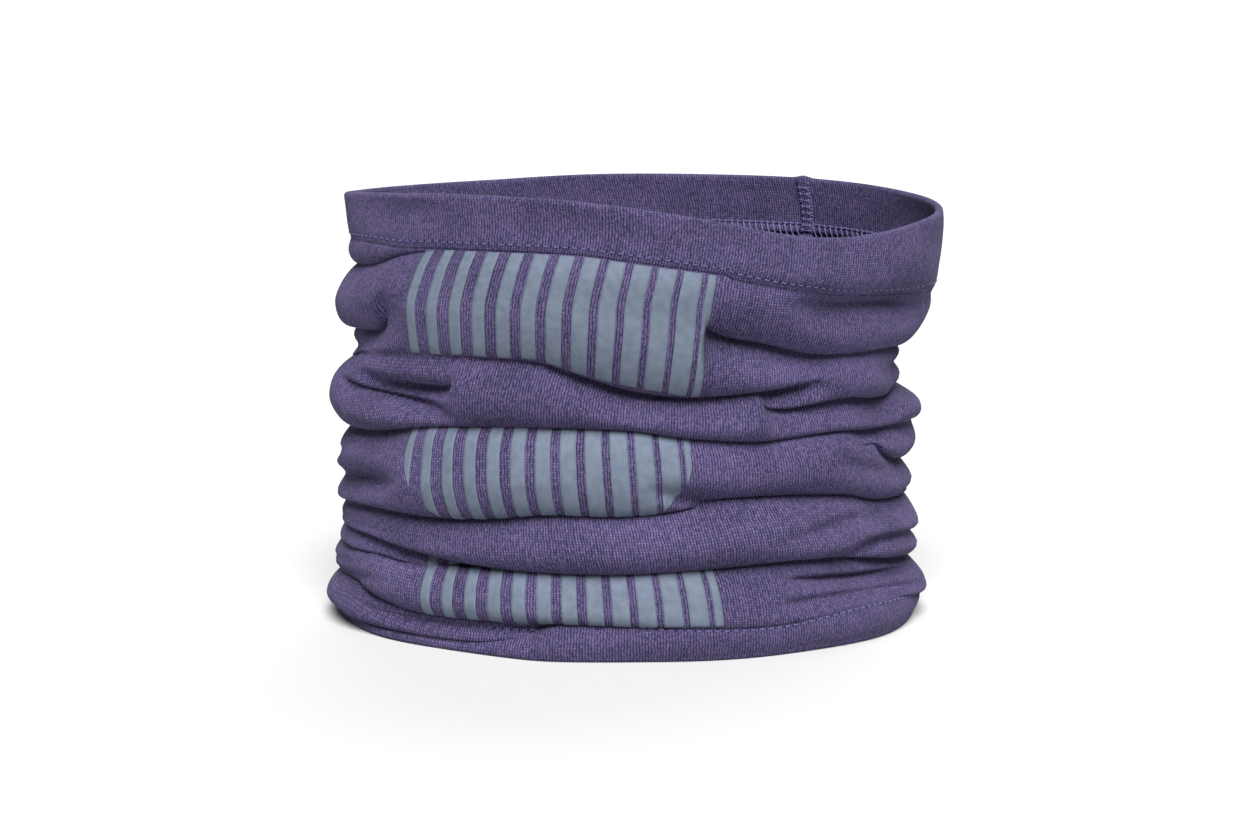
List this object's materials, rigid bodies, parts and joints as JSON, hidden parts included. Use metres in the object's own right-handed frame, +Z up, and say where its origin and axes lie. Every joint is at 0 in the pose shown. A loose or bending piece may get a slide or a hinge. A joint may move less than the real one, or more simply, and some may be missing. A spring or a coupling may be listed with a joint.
{
  "type": "neck gaiter",
  "caption": "Knitted tube scarf scrunched into soft rolls, with stitched hems, an inner back seam and printed bars; open at both ends for the wearer's neck.",
  "frame": {"origin": "middle of the footprint, on the plane the lower hem stands on", "axes": "+Z up along the tube; the printed front faces -Y; +X is to the right of the printed front"},
  "size_m": [0.19, 0.1368, 0.137],
  "materials": {
    "knit_fabric": "matte",
    "sewing_thread": "satin",
    "print_film": "matte"
  },
  "bodies": {
    "root": {"back_seam_allowance": "knit_fabric", "back_seam_overlock_thread": "sewing_thread", "bottom_hem": "knit_fabric", "bottom_hem_looper_thread": "sewing_thread", "bottom_hem_needle_thread": "sewing_thread", "lower_print_bar_01": "print_film", "lower_print_bar_02": "print_film", "lower_print_bar_03": "print_film", "lower_print_bar_04": "print_film", "lower_print_bar_05": "print_film", "lower_print_bar_06": "print_film", "lower_print_bar_07": "print_film", "lower_print_bar_08": "print_film", "lower_print_bar_09": "print_film", "lower_print_bar_10": "print_film", "lower_print_bar_11": "print_film", "lower_print_bar_12": "print_film", "lower_print_bar_13": "print_film", "main_tube": "knit_fabric", "middle_print_bar_01": "print_film", "middle_print_bar_02": "print_film", "middle_print_bar_03": "print_film", "middle_print_bar_04": "print_film", "middle_print_bar_05": "print_film", "middle_print_bar_06": "print_film", "middle_print_bar_07": "print_film", "middle_print_bar_08": "print_film", "middle_print_bar_09": "print_film", "middle_print_bar_10": "print_film", "middle_print_bar_11": "print_film", "middle_print_bar_12": "print_film", "middle_print_bar_13": "print_film", "top_hem": "knit_fabric", "top_hem_looper_thread": "sewing_thread", "top_hem_needle_thread": "sewing_thread", "upper_print_bar_01": "print_film", "upper_print_bar_02": "print_film", "upper_print_bar_03": "print_film", "upper_print_bar_04": "print_film", "upper_print_bar_05": "print_film", "upper_print_bar_06": "print_film", "upper_print_bar_07": "print_film", "upper_print_bar_08": "print_film", "upper_print_bar_09": "print_film", "upper_print_bar_10": "print_film", "upper_print_bar_11": "print_film", "upper_print_bar_12": "print_film", "upper_print_bar_13": "print_film"}
  },
  "joints": []
}
